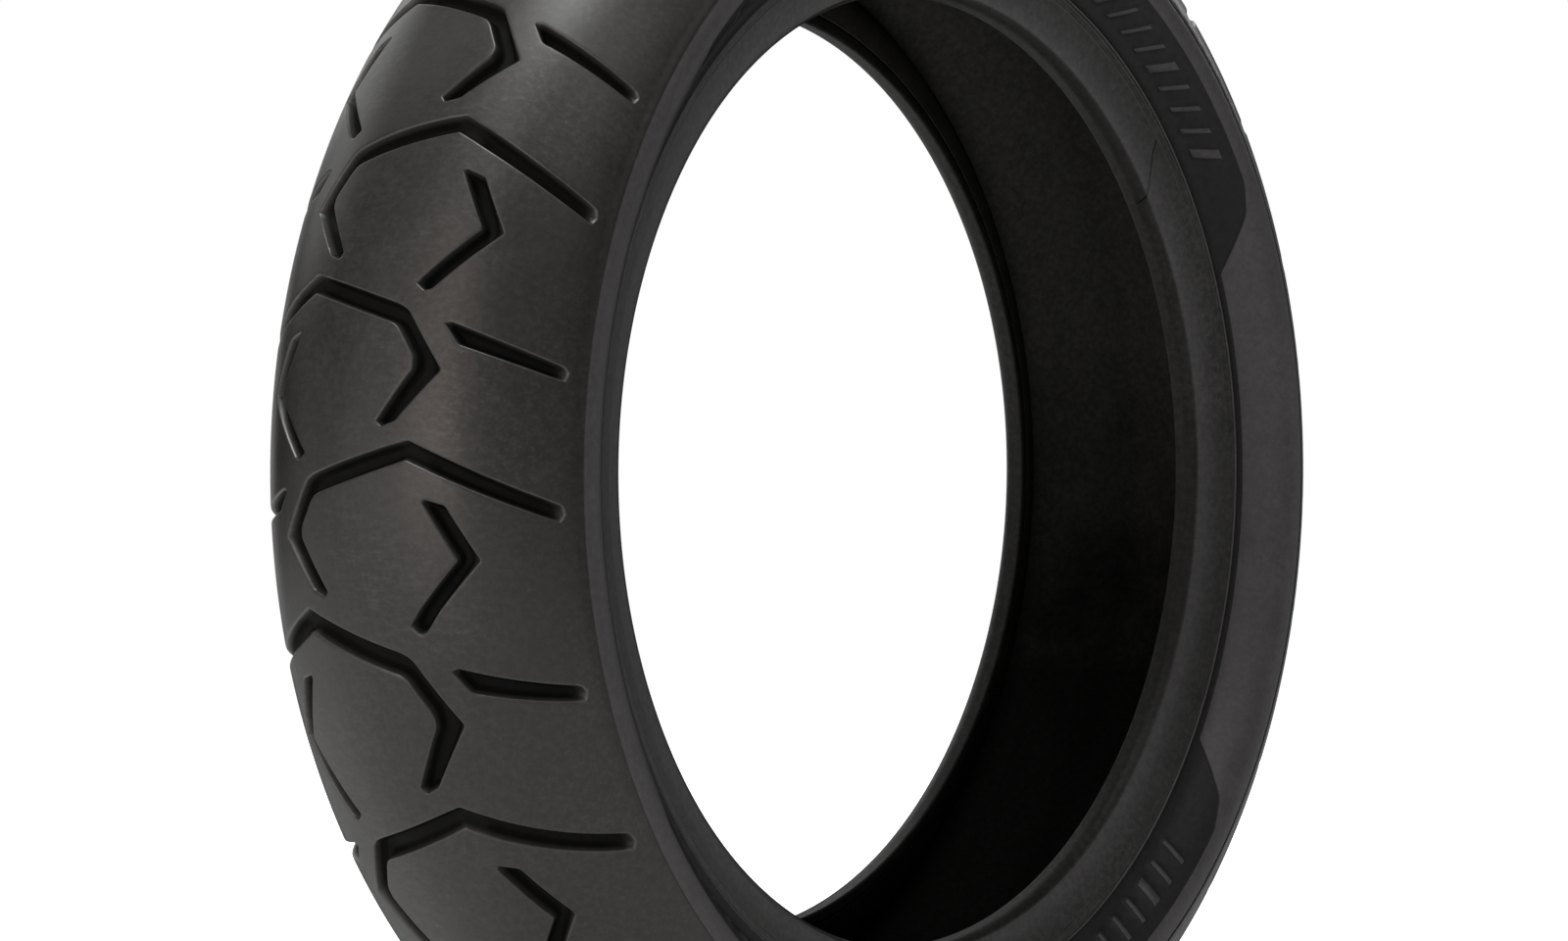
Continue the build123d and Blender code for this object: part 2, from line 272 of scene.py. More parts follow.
# Groove outlines: (s in mm, degrees past the apex, corner radius in mm)
LONG_GROOVE = [
    (30.2, 0.0, 1.3), (94.0, 5.10, 1.2), (95.3, 5.85, 0.9), (93.2, 6.45, 1.0),
    (29.2, 1.48, 0.9), (5.5, 2.72, 14.0), (-20.9, 4.05, 3.6), (-30.3, 6.45, 2.5),
    (-30.3, 7.25, 1.2), (-14.8, 11.15, 0.8), (-17.2, 11.55, 0.8), (-23.7, 11.15, 1.0),
    (-42.9, 7.30, 1.0), (-25.4, 2.95, 2.4), (-20.5, 2.52, 2.6), (5.5, 1.22, 14.0),
]
VEE_GROOVE = [
    (36.4, 4.50, 0.6), (37.6, 4.36, 0.6), (46.3, 4.81, 1.2), (60.0, 9.01, 1.0),
    (34.2, 13.86, 1.0), (31.0, 13.98, 0.8), (26.9, 13.45, 0.7), (50.8, 8.88, 1.2),
]
DASH_GROOVE = [
    (42.3, 16.35, 0.5), (45.0, 16.22, 0.8), (93.0, 18.78, 1.2),
    (95.0, 19.25, 0.9), (93.6, 19.95, 1.0), (49.1, 17.87, 1.0),
]
# Grooves cut in one pitch: (outline, mirrored, shift in degrees)
GROOVES = [
    (LONG_GROOVE, False, 0.0), (VEE_GROOVE, False, 0.0), (DASH_GROOVE, False, 0.0),
    (LONG_GROOVE, True, 0.0), (VEE_GROOVE, True, 0.0), (DASH_GROOVE, True, -DRAWN_PITCH),
]
# Copies of the pattern that reach into one pitch: (side, shift in degrees)
COPIES = [(1.0, 0.0), (-1.0, DRAWN_PITCH / 2), (-1.0, -DRAWN_PITCH / 2), (1.0, DRAWN_PITCH)]
# Groove wall: (distance inside the outline in mm, share of the full depth)
GROOVE_WALL = np.array([
    (-1.6, 0.0), (-0.75, 0.001), (-0.25, 0.012), (0.0, 0.055), (0.25, 0.19),
    (0.9, 0.55), (1.6, 0.90), (2.15, 0.975), (2.7, 1.0),
])
GROOVE_DEPTH = 6.6
GROOVE_ENDS = 95.4              # s where the grooves run out
# Joint between two pitches, right to left: (s in mm, degrees past the apex)
JOINT = [
    (102.9, 24.0), (75, 23.6), (45, 23.2), (30, 23.75), (20, 24.95), (10, 25.2), (0, 25.5),
    (-10, 25.3), (-22, 26.6), (-28, 27.5), (-33, 28.2), (-40, 27.3), (-50, 26.5),
    (-70, 26.5), (-102.9, 27.5),
]
SIDE_PARTS = 30                 # divisions of a pitch along the tread edge

BAND_DEPTH = 8.5                # inner side of the band, under the surface
BAND_TURNS = [61.8, 58, 50, 42, 34, 27, MID_END_DEG, 15, 8]  # its rows, degrees on the crown
BAND_LIP = [(84.22, 269.35), (83.2, 269.42)]        # (a, r) between tread edge and inner side


def pitch_size(k):
    letter = PITCH_ORDER[(k - FIRST_PITCH) % len(PITCH_ORDER)]
    return LONG_PITCH if letter == "L" else SHORT_PITCH


def pitch_start(k):
    start = APEX_ANGLE - SHORT_PITCH / 2
    for i in range(min(k, 0), max(k, 0)):
        start += pitch_size(i) if k >= 0 else -pitch_size(i)
    return start


PITCH_STARTS = {k: pitch_start(k) for k in range(-4, 14)}


def tread_angle(phase):
    """Degrees round the tyre; whole numbers of phase are the middles of the pitches."""
    pitch = np.floor(phase + 0.5 + 1e-9).astype(int)
    start = np.array([PITCH_STARTS[k] for k in pitch])
    size = np.array([pitch_size(k) for k in pitch])
    return start + (phase + 0.5 - pitch) * size


def groove_outline(corners, mirrored, shift):
    side, half = (-1, DRAWN_PITCH / 2) if mirrored else (1, 0.0)
    return rounded([(side * s, (degrees + half + shift) * TREAD_SCALE, radius)
                    for s, degrees, radius in corners], 2.9)


def raised_floor(points):
    """Height in mm of the step in the floor of each long groove, just past its apex."""
    height = np.zeros(len(points))
    for side, shift in COPIES:
        s, degrees = points[:, 0] * side, points[:, 1] / TREAD_SCALE - shift
        near = (degrees > -2.0) & (degrees < 3.0)
        step = np.interp(s, [24.5, 26.5, 38.0, 41.5], [0, 1, 1, 0]) * near
        height = np.maximum(height, 2.3 * step)
    return height


def lean(points):
    """0 to 1: nearness to the outer corner of a long or V groove, where the wall leans back."""
    amount = np.zeros(len(points))
    for side, shift in COPIES:
        s, degrees = points[:, 0] * side, points[:, 1] / TREAD_SCALE - shift
        for corner_s, corner_degrees in ((-42.9, 7.3), (60.5, 9.0)):
            past = (degrees - corner_degrees) * TREAD_SCALE
            near = np.clip(1.15 - np.hypot(s - corner_s, past) / 15.0, 0, 1)
            amount = np.maximum(amount, near * np.interp(past, [-7.0, -2.0], [0.0, 1.0]))
    return amount


def groove_depth(inside, points):
    """Depth under the crown for a distance inside the nearest outline."""
    inside = np.where(inside > 0, inside * (1 - 0.42 * lean(points)), inside)
    across = np.abs(points[:, 0])
    full = GROOVE_DEPTH - 1.8 * np.clip((across - 50) / 45, 0, 1) ** 1.3
    full = full * np.clip(0.14 + (GROOVE_ENDS - across) / 8.0, 0.14, 1.0)
    full = full - raised_floor(points)
    return np.interp(inside, GROOVE_WALL[:, 0], GROOVE_WALL[:, 1]) * full


def draw_pitch():
    """Flat drawing of one pitch: points, faces, distance inside a groove, depth."""
    upper = divide([(s, degrees * TREAD_SCALE) for s, degrees in JOINT], 4.2)
    lower = upper - np.array([0.0, PERIOD])
    parts = range(1, SIDE_PARTS)
    right = [lower[0] + (upper[0] - lower[0]) * j / SIDE_PARTS for j in parts]
    left = [upper[-1] + (lower[-1] - upper[-1]) * j / SIDE_PARTS for j in parts]
    border = np.array(list(lower[::-1]) + right + list(upper) + left)
    outlines = [groove_outline(*groove) for groove in GROOVES]
    chains = []
    for outline in outlines:
        normals = outward(outline)
        chains += [offset_chain(outline, normals, -inside) for inside in GROOVE_WALL[:, 0]]
    loose = staggered(np.arange(-HALF_WIDTH + 3.4, HALF_WIDTH - 3.0, 4.0),
                      np.arange(-60, 200, 4.4), 1.9)
    loose = loose[signed(loose, border) > 1.8]
    inside = np.max([signed(loose, outline) for outline in outlines], axis=0)
    loose = loose[(inside < -2.9) | (inside > 3.2)]
    points, faces = triangulate(border, chains, loose)
    inside = np.max([signed(points, outline) for outline in outlines], axis=0)
    return points, faces, inside, groove_depth(inside, points)


def tread_piece():
    points, faces, inside, depth = draw_pitch()
    bm = bmesh.new()
    groove_layer = bm.verts.layers.float.new("groove")
    rim_highlight_layer = bm.verts.layers.float.new("rim")
    for k in range(FIRST_PITCH, FIRST_PITCH + len(PITCH_ORDER)):
        degrees = tread_angle(points[:, 1] / PERIOD + k)
        verts = []
        for place, sunk, distance in zip(crown_points(points[:, 0], degrees, depth),
                                         depth, inside):
            v = bm.verts.new(place)
            # groove: share of the full depth, also the mask of the painted groove shade; rim:
            # nearness to a groove edge, the mask of a painted highlight and more gloss
            v[groove_layer] = sunk / GROOVE_DEPTH
            v[rim_highlight_layer] = math.exp(-((distance - 0.02) / 0.33) ** 2)
            verts.append(v)
        for face in faces:
            bm.faces.new([verts[i] for i in face])
    bmesh.ops.remove_doubles(bm, verts=bm.verts, dist=WELD)
    right, left = open_loops(bm, lambda place: place.y < 0)
    inner = []
    for turn in BAND_TURNS + [0] + [-turn for turn in BAND_TURNS[::-1]]:
        a, r = crown(math.radians(abs(turn)), BAND_DEPTH)
        inner.append((math.copysign(a, turn), r))
    close_ring(bm, right, left, BAND_LIP + inner + [(-a, r) for a, r in BAND_LIP[::-1]])
    return closed_object("tread_band", bm)


# ------------------------------------------------------------------ side profile
# Outer surface of one side: an arc round the heel, then a curve out to the tread edge.
HEEL_A, HEEL_R, HEEL_ARC = 50.8, 222.8, 8.8
SIDE_CURVE = [                  # (a, r)
    (61.2, 227.3), (63.4, 233.4), (65.25, 238.6), (66.9, 243.2), (68.0, 244.6), (71.4, 246.9),
    (76.0, 250.0), (80.3, 253.6), (83.4, 257.6), (84.9, 262.0), (85.05, 266.0), (84.33, 269.55),
]
SIDE = np.array([(HEEL_A + HEEL_ARC * math.cos(math.radians(q)),
                  HEEL_R + HEEL_ARC * math.sin(math.radians(q)))
                 for q in np.linspace(-90, -19.7, 24)] + catmull(SIDE_CURVE, 10))
SIDE_LENGTH = np.r_[0, np.cumsum(np.hypot(*np.diff(SIDE, axis=0).T))]
SIDE_TANGENT = unit_rows(np.gradient(SIDE, SIDE_LENGTH, axis=0))
SIDE_NORMAL = np.stack([SIDE_TANGENT[:, 1], -SIDE_TANGENT[:, 0]], -1)   # outward
CHAFER_END = 30.1               # s where the chafer gives way to the sidewall
SIDE_END = float(SIDE_LENGTH[-1])


def side_normal(s):
    return (np.interp(s, SIDE_LENGTH, SIDE_NORMAL[:, 0]),
            np.interp(s, SIDE_LENGTH, SIDE_NORMAL[:, 1]))


def side_section(s, lift):
    """(a, r) at a length s along the side, lifted off the surface."""
    normal_a, normal_r = side_normal(s)
    return (np.interp(s, SIDE_LENGTH, SIDE[:, 0]) + normal_a * lift,
            np.interp(s, SIDE_LENGTH, SIDE[:, 1]) + normal_r * lift)


# ------------------------------------------------------------------ sidewalls
WALL_SCALE = 4.45               # mm of drawing per degree
HALF_TURN = 180.0 * WALL_SCALE
WALL_PARTS = 400                # divisions round the wall
# A recessed band runs round the wall and reaches farther out in two panels.
RECESS_DEPTH = 0.55
BAND_INNER, BAND_OUTER, PANEL_OUTER = 31.5, 34.9, 58.4          # s
PANELS = [(23.1, 146.0), (-156.0, -32.5)]                       # from and to, degrees
# Slanted ribs stand in each panel, every fourth one wide.
RIB_INNER, RIB_OUTER = 38.8, 52.2                               # s
RIB_HEIGHT, RIB_SLANT, RIB_WIDTH, WIDE_RIB = 0.5, 3.2, 3.1, 5.6
RIB_PITCH = 3.1                                                 # degrees
RIB_MARGIN = 13.0                                               # degrees free at panel ends
SEAM_STATIONS = [30.4, 30.7, 31.0, 31.3, 33.2, 36.5, 40, 44, 48, 52, 56, 59.5, 62, 64.5, 67,
                 68.6, 69.2]    # s of points where the drawing's two ends meet
RING_STATIONS = [30.4, 30.7, 31.0, 31.3, 32.2, 67.9, 68.7, 69.3]    # s of full rings of edges
WALL_BACK = [(75.2, 269.3), (78.9, 262.6), (79.1, 258.4), (76.9, 254.0), (71.6, 249.9),
             (68.9, 246.9), (66.0, 243.4), (64.2, 239.0)]           # inner side, (a, r)
LOOP_SPLIT = 0.255              # m, radius between the wall's two open edges


def recess_outline():
    corners = [(BAND_INNER, -186.0, 0.0), (BAND_OUTER, -186.0, 0.0)]
    for start, end in sorted(PANELS):
        corners += [
            (BAND_OUTER, start, 0.6), (PANEL_OUTER - 4.0, start + 6.0, 3.0),
            (PANEL_OUTER, start + 9.6, 1.5), (PANEL_OUTER, end - 9.6, 1.5),
            (PANEL_OUTER - 4.0, end - 6.0, 3.0), (BAND_OUTER, end, 0.6)]
    corners += [(BAND_OUTER, 186.0, 0.0), (BAND_INNER, 186.0, 0.0)]
    return rounded([(s, degrees * WALL_SCALE, radius) for s, degrees, radius in corners], 3.0)


def rib_outlines():
    outlines = []
    for start, end in PANELS:
        low, high = start + RIB_MARGIN, end - RIB_MARGIN
        count = int((high - low) / RIB_PITCH)
        for i in range(count):
            v = (low + (high - low) * (i + 0.5) / count) * WALL_SCALE
            half = (RIB_WIDTH if i % 4 else WIDE_RIB) / 2
            outlines.append(rounded([
                (RIB_INNER, v - half + RIB_SLANT, 0.5), (RIB_OUTER, v - half - RIB_SLANT, 0.5),
                (RIB_OUTER, v + half - RIB_SLANT, 0.5), (RIB_INNER, v + half + RIB_SLANT, 0.5),
            ], 4.0))
    return outlines


def inside_ribs(points, ribs):
    """Distance inside the nearest rib; far from every rib, a large negative number."""
    inside = np.full(len(points), -1e9)
    for rib in ribs:
        near = np.abs(points[:, 1] - rib.mean(0)[1]) < 16
        inside[near] = np.maximum(inside[near], signed(points[near], rib))
    return inside


def recess_chains(recess):
    """Lines on both sides of the recess edge, cut off short of the drawing's ends."""
    normals = outward(recess)
    chains = []
    for distance in (-0.8, -0.3, 0.25, 0.8):
        points, links = offset_chain(recess, normals, distance, 0.05)
        kept = [i for i, (s, v) in enumerate(points)
                if abs(v) < HALF_TURN - 0.6 and s > BAND_INNER + 1.0]
        new = {i: k for k, i in enumerate(kept)}
        chains.append((points[kept], [
            (new[i], new[j]) for i, j in links
            if i in new and j in new and abs(points[i][1] - points[j][1]) < 30]))
    return chains


def draw_wall():
    """Flat drawing of a sidewall: points, faces, lift, distance inside the recess, rib share."""
    ribs = rib_outlines()
    recess = recess_outline()
    step = HALF_TURN * 2 / WALL_PARTS
    round_v = [-HALF_TURN + step * i for i in range(WALL_PARTS + 1)]
    border = [(CHAFER_END, v) for v in round_v]
    border += [(s, HALF_TURN) for s in SEAM_STATIONS]
    border += [(SIDE_END, v) for v in round_v[::-1]]
    border += [(s, -HALF_TURN) for s in SEAM_STATIONS[::-1]]
    chains = [([(s, v) for v in round_v], [(i, i + 1) for i in range(WALL_PARTS)])
              for s in RING_STATIONS]
    chains += recess_chains(recess)
    for rib in ribs:
        normals = outward(rib)
        chains += [offset_chain(rib, normals, distance, 0.1) for distance in (0.35, -0.25)]
    loose = staggered(np.arange(34.1, 67.2, 3.3),
                      np.arange(-HALF_TURN + 2.5, HALF_TURN - 2.0, 4.4), 1.6)
    clear = (np.abs(signed(loose, recess)) > 1.9) & (loose[:, 0] < 66.9)
    clear &= inside_ribs(loose, ribs) < -1.3
    points, faces = triangulate(border, chains, loose[clear])

    s = points[:, 0]
    inside = signed(points, recess)
    rib = np.interp(inside_ribs(points, ribs), [-0.4, 0.3], [0, 1])
    lift = -RECESS_DEPTH * np.interp(inside, [-0.35, 0.3], [0, 1])
    lift = lift * np.interp(s, [31.3, 32.2], [0, 1]) + RIB_HEIGHT * rib
    # fine moulded line beside the chafer, then the crease under the tread edge
    lift = lift + np.interp(s, [CHAFER_END, 30.4, 30.7, 31.0, 31.3, 31.9],
                            [-0.25, 0.22, 0.42, 0.38, 0.2, 0.0])
    lift = lift - np.interp(s, [67.9, 68.7, 69.3, SIDE_END], [0, 0.12, 0.34, 0.62])
    return points, faces, lift, inside, rib


def wall_piece(name, drawing, left):
    """Sidewall; the left one is the right one turned by half a turn about Z."""
    points, faces, lift, inside, rib = drawing
    bm = bmesh.new()
    panel_layer = bm.verts.layers.float.new("panel")
    rib_layer = bm.verts.layers.float.new("rib")
    a, r = side_section(points[:, 0], lift)
    t = np.radians(points[:, 1] / WALL_SCALE)
    verts = []
    for i, s in enumerate(points[:, 0]):
        x, y, z = ring_point(a[i], r[i], t[i])
        v = bm.verts.new((-x, -y, z) if left else (x, y, z))
        in_recess = 1.0 if s < 33.0 else float(np.interp(inside[i], [-0.3, 0.3], [0, 1]))
        v[panel_layer] = float(s > 31.2) * in_recess
        v[rib_layer] = float(rib[i])
        verts.append(v)
    for face in faces:
        bm.faces.new([verts[i] for i in face])
    bmesh.ops.remove_doubles(bm, verts=bm.verts, dist=WELD)
    outer, inner = open_loops(bm, lambda place: math.hypot(place.x, place.z) > LOOP_SPLIT)
    side = -1 if left else 1
    close_ring(bm, outer, inner, [(side * a, r) for a, r in WALL_BACK])
    return closed_object(name, bm)


# ------------------------------------------------------------------ chafers and liner
# Fine splice line across a ring: (degrees from its middle, share of its depth)
SPLICE = ((-0.2, 0.0), (-0.09, 0.25), (-0.04, 1.0), (0.04, 1.0), (0.09, 0.25), (0.2, 0.0))


def slanted_ring(name, stations, count, splices, side=1):
    """Ring whose columns follow a slanted line.

    stations: (a, r, outward normal a, normal r, slant in degrees, key); the key is None off
    the visible face. splices: (degrees, function from key to depth in mm).
    """
    columns = [(360.0 * j / count, 0.0, None) for j in range(count)]
    for middle, depth_at in splices:
        columns = [c for c in columns if abs(c[0] - middle) > 0.45]
        columns += [(middle + degrees, share, depth_at) for degrees, share in SPLICE]
    columns.sort(key=lambda c: c[0])
    bm = bmesh.new()
    seam_layer, toe_layer, heel_highlight_layer = (
        bm.verts.layers.float.new(layer) for layer in ("seam", "toe", "band"))
    rows = []
    for degrees, share, depth_at in columns:
        row = []
        for a, r, normal_a, normal_r, slant, key in stations:
            lift = 0.0
            if share > 0 and key is not None:
                lift = -share * depth_at(key)
            v = bm.verts.new(ring_point(side * (a + normal_a * lift), r + normal_r * lift,
                                        math.radians(degrees + slant)))
            v[seam_layer] = min(1.0, -lift / 0.25)
            v[toe_layer] = 1.0 if key is None else float(np.interp(key, [6.6, 8.0], [1, 0]))
            # band: the mask of the painted highlight along the heel
            v[heel_highlight_layer] = 0.0 if key is None else float(
                np.interp(key, [6.8, 8.0, 11.5, 17.0, 24.0], [0, 1, 0.9, 0.4, 0]))
            row.append(v)
        rows.append(row)
    for i, j in ring_links(len(rows)):
        bridge(bm, rows[i], rows[j])
    return closed_object(name, bm)


CHAFER_TOE = [                  # (a, r), from inside the bead out to the start of the side
    (48.3, 221.5), (47.6, 219.8), (46.2, 216.4), (46.02, 215.4), (46.0, 214.9),
    (46.07, 214.5), (46.3, 214.17), (46.75, 214.0), (47.6, 214.0), (49.2, 214.0),
]
CHAFER_BACK = [                 # (a, r), hidden side, from the sidewall back to the toe
    (64.0, 238.7), (61.9, 232.4), (60.0, 227.0), (58.6, 222.2), (57.7, 219.2), (55.9, 216.9),
    (53.9, 216.0), (51.4, 216.1), (49.7, 217.6), (49.2, 219.4), (49.3, 221.2),
]
# Low ridges round the chafer: (s, width, height); the first is where the seat meets the heel
CHAFER_RIDGES = [(7.6, 0.5, 0.14), (26.4, 0.42, 0.28), (27.7, 0.3, 0.12), (28.7, 0.6, -0.15)]
CHAFER_SPLICES = {"right": 36.6, "left": 143.4}     # degrees


def splice_slant(s):
    return float(np.interp(s, [0, 7, 12, 20, 27], [0, 0.7, 2.4, 5.0, 6.4]))


def splice_depth(s):
    return float(np.interp(s, [0.5, 1.5, 12, 15, 20, 24.5, 26],
                           [0, 0.38, 0.36, 0.26, 0.32, 0.3, 0]))


def chafer_stations():
    stations = [(a, r, 0, 0, 0.0, None) for a, r in CHAFER_TOE]
    s = 0.0
    while s < CHAFER_END - 1e-6:
        lift = sum(height * math.exp(-((s - place) / width) ** 2)
                   for place, width, height in CHAFER_RIDGES)
        stations.append((*side_section(s, lift), *side_normal(s), splice_slant(s), s))
        s += 0.25 if (6.4 < s < 8.8 or s > 24.8) else 0.8
    last_slant = splice_slant(CHAFER_END)
    stations.append((*side_section(CHAFER_END - 0.02, -0.3), 0, 0, last_slant, None))
    for i, (a, r) in enumerate(CHAFER_BACK):
        slant = last_slant * (1 - (i + 1) / len(CHAFER_BACK))
        stations.append((a, r, 0, 0, slant, None))
    return stations


LINER_DEPTH = 14.1              # under the crown surface
LINER_THICKNESS = 0.74
LINER_TURNS = (0, 9, 18, 27, 36, 44)        # degrees on the crown
LINER_SIDE = [                  # (a, r), on from the crown down to the bead
    (63.0, 278.2), (65.9, 275.0), (69.0, 271.7), (72.1, 268.0), (74.4, 264.3), (75.75, 260.2),
    (75.2, 257.0), (72.5, 254.3), (67.7, 251.2), (61.7, 245.7), (58.4, 241.5), (55.9, 237.8),
    (53.2, 232.7), (51.0, 228.0), (49.4, 224.0), (48.75, 222.2),
]
LINER_SPLICES = [(118.0, lambda key: 0.35), (298.0, lambda key: 0.3)]


def liner_stations():
    half = [crown(math.radians(turn), LINER_DEPTH) for turn in LINER_TURNS] + LINER_SIDE
    skin = np.array(catmull([(-a, r) for a, r in half[:0:-1]] + half, 4))
    tangent = unit_rows(np.gradient(skin, axis=0))
    back = skin + np.stack([-tangent[:, 1], tangent[:, 0]], -1) * LINER_THICKNESS
    count = len(skin)
    stations = []
    for i, (a, r) in enumerate(skin):
        chord = skin[min(i + 1, count - 1)] - skin[max(i - 1, 0)]
        chord = chord / np.linalg.norm(chord)
        slant = 9.0 * math.sin((i / count - 0.5) * 2.2)
        stations.append((a, r, float(chord[1]), float(-chord[0]), slant, i))
    return stations + [(a, r, 0.0, 0.0, 0.0, None) for a, r in back[::-1]]


# ------------------------------------------------------------------ shader tools
def feed(tree, socket, value):
    """Links a socket, or sets a plain value; colours are given as (r, g, b)."""
    if isinstance(value, bpy.types.NodeSocket):
        tree.links.new(value, socket)
    elif socket.type == "RGBA":
        socket.default_value = (*value, 1)
    else:
        socket.default_value = value


def fill(tree, target, **inputs):
    """Feeds inputs by name, an underscore standing for a space."""
    for name, value in inputs.items():
        feed(tree, target.inputs[name.replace("_", " ")], value)
    return target


def node(tree, kind, **inputs):
    return fill(tree, tree.nodes.new(kind), **inputs)


def new_material(name):
    material = bpy.data.materials.new(name)
    material.use_nodes = True
    tree = material.node_tree
    tree.nodes.clear()
    output = node(tree, "ShaderNodeOutputMaterial")
    shader = node(tree, "ShaderNodeBsdfPrincipled")
    tree.links.new(shader.outputs[0], output.inputs[0])
    return material, tree, shader


def calc(tree, operation, a, b):
    maths = node(tree, "ShaderNodeMath")
    maths.operation = operation
    feed(tree, maths.inputs[0], a)
    feed(tree, maths.inputs[1], b)
    return maths.outputs[0]


def mul(tree, a, b):
    return calc(tree, "MULTIPLY", a, b)


def add(tree, a, b):
    return calc(tree, "ADD", a, b)


def sub(tree, a, b):
    return calc(tree, "SUBTRACT", a, b)


def scaled(tree, value, mask, amount):
    """value turned towards value * amount as mask goes from 0 to 1."""
    return mul(tree, value, add(tree, mul(tree, mask, amount - 1.0), 1.0))


def mix(tree, factor, a, b):
    mixer = node(tree, "ShaderNodeMix")
    mixer.data_type = "RGBA"
    for place, value in ((0, factor), (6, a), (7, b)):
        feed(tree, mixer.inputs[place], value)
    return mixer.outputs[2]


def tint(tree, colour, mask, amount, target):
    """colour turned towards target by amount where mask is 1."""
    return mix(tree, mul(tree, mask, amount), colour, target)


def ramp(tree, source, start, end, lowest=0.0):
    """Grey ramp from lowest at start to 1 at end."""
    ramp_node = node(tree, "ShaderNodeValToRGB")
    for stop, place, level in zip(ramp_node.color_ramp.elements, (start, end), (lowest, 1.0)):
        stop.position = place
        stop.color = (level, level, level, 1)
    tree.links.new(source, ramp_node.inputs[0])
    return ramp_node.outputs[0]


def fade(tree, source, start, end, lowest=0.0):
    """Straight line from lowest at start to 1 at end."""
    return node(tree, "ShaderNodeMapRange", Value=source, From_Min=start, From_Max=end,
                To_Min=lowest).outputs["Result"]


def object_place(tree):
    return node(tree, "ShaderNodeTexCoord").outputs["Object"]


def noise(tree, place, scale, detail=3.0, rough=0.55, warp=0.0):
    return node(tree, "ShaderNodeTexNoise", Vector=place, Scale=scale, Detail=detail,
                Roughness=rough, Distortion=warp).outputs["Fac"]


def bump(tree, height, **inputs):
    return node(tree, "ShaderNodeBump", Height=height, **inputs).outputs[0]


def axis(tree, place, letter):
    return node(tree, "ShaderNodeSeparateXYZ", Vector=place).outputs[letter]


def attribute(tree, name):
    reader = node(tree, "ShaderNodeAttribute")
    reader.attribute_name = name
    return reader.outputs["Fac"]


def shade(base, factor):
    return tuple(x * factor for x in base)


# ------------------------------------------------------------------ rubber
def rubber(name, base, rough=0.6, grain=0.25, mottle=0.25, dust=(0.10, 0.095, 0.09),
           dust_amount=0.25, specular=0.5, speck=0.3, edge_from=0.50, detail=None):
    """Mottled, dusty rubber; detail(tree, place, colour, level, rough) adds to the last three."""
    material, tree, shader = new_material(name)
    place = object_place(tree)
    patches = noise(tree, place, scale=9.0, detail=4.0, rough=0.6, warp=0.3)
    mottling = noise(tree, place, scale=60.0, detail=5.0, rough=0.62, warp=0.2)
    medium = noise(tree, place, scale=330.0, detail=4.0, rough=0.65, warp=0.1)
    fine = noise(tree, place, scale=900.0, detail=2.0, rough=0.6)
    colour = mix(tree, ramp(tree, mottling, start=0.30, end=0.72),
                 shade(base, 1 - mottle), shade(base, 1 + mottle))
    speckle = ramp(tree, medium, start=0.40, end=0.66)
    dusty = mul(tree, ramp(tree, patches, start=0.44, end=0.62), speckle)
    colour = tint(tree, colour, dusty, dust_amount, dust)
    colour = tint(tree, colour, ramp(tree, fine, start=0.40, end=0.70), speck, shade(base, 2.0))
    # gloss: level and roughness both wander a little, at two scales
    level = mul(tree, add(tree, mul(tree, speckle, 2 * speck), 1.0 - speck), specular)
    rough = add(tree, mul(tree, mottling, 0.10), rough - 0.05)
    rough = add(tree, rough, mul(tree, dusty, 0.06))
    if detail:
        colour, level, rough = detail(tree, place, colour, level, rough)
    # worn rubber does not mirror at grazing angles; the colour is darkened there as well, a
    # painted shade along the outline
    facing = node(tree, "ShaderNodeLayerWeight", Blend=0.5).outputs["Facing"]
    edge = ramp(tree, facing, start=edge_from, end=0.88)
    level = scaled(tree, level, edge, amount=0.05)
    colour = tint(tree, colour, edge, 0.75, shade(base, 0.25))
    height = add(tree, mul(tree, fine, 0.5), mul(tree, medium, 0.5))
    grained = bump(tree, height, Strength=grain, Distance=0.0006)
    normal = bump(tree, mottling, Strength=0.06, Distance=0.001, Normal=grained)
    fill(tree, shader, Base_Color=colour, Specular_IOR_Level=level, Roughness=rough,
         Normal=normal)
    return material


def tread_detail(tree, place, colour, level, rough):
    # fine slanted scuffs, in patches
    turned = node(tree, "ShaderNodeMapping", Vector=place, Rotation=(0.6, 0.35, 0.5),
                  Scale=(1.0, 0.22, 1.0)).outputs[0]
    scuff = ramp(tree, noise(tree, turned, scale=520.0, detail=5.0, rough=0.7),
                 start=0.47, end=0.72)
    patches = ramp(tree, noise(tree, place, scale=16.0, detail=3.0, rough=0.6),
                   start=0.40, end=0.62, lowest=0.15)
    scuff = mul(tree, scuff, patches)
    colour = tint(tree, colour, scuff, 0.30, (0.050, 0.0475, 0.044))
    level = scaled(tree, level, scuff, amount=1.35)
    # grooves darkened with painted shade and made duller; rims lightened with a painted highlight
    # and made shinier
    groove = ramp(tree, attribute(tree, "groove"), start=0.05, end=0.55)
    rim = attribute(tree, "rim")
    colour = tint(tree, colour, groove, 0.85, (0.003, 0.003, 0.003))
    colour = tint(tree, colour, rim, 0.3, (0.07, 0.068, 0.066))
    level = scaled(tree, scaled(tree, level, groove, amount=0.25), rim, amount=1.6)
    rough = sub(tree, add(tree, rough, mul(tree, groove, 0.34)), mul(tree, rim, 0.09))
    return colour, level, rough


def wall_detail(tree, place, colour, level, rough):
    # dark recess floor, with painted shade along its foot, where it meets the wall and the ribs
    floor_mask = mul(tree, attribute(tree, "panel"), sub(tree, 1.0, attribute(tree, "rib")))
    foot_shade = mul(tree, mul(tree, floor_mask, sub(tree, 1.0, floor_mask)), 4.0)
    colour = tint(tree, colour, floor_mask, 0.86, (0.0074, 0.0078, 0.0073))
    colour = tint(tree, colour, foot_shade, 0.6, (0.003, 0.003, 0.003))
    level = scaled(tree, scaled(tree, level, floor_mask, amount=0.42), foot_shade, amount=0.45)
    return colour, level, add(tree, rough, mul(tree, floor_mask, 0.06))


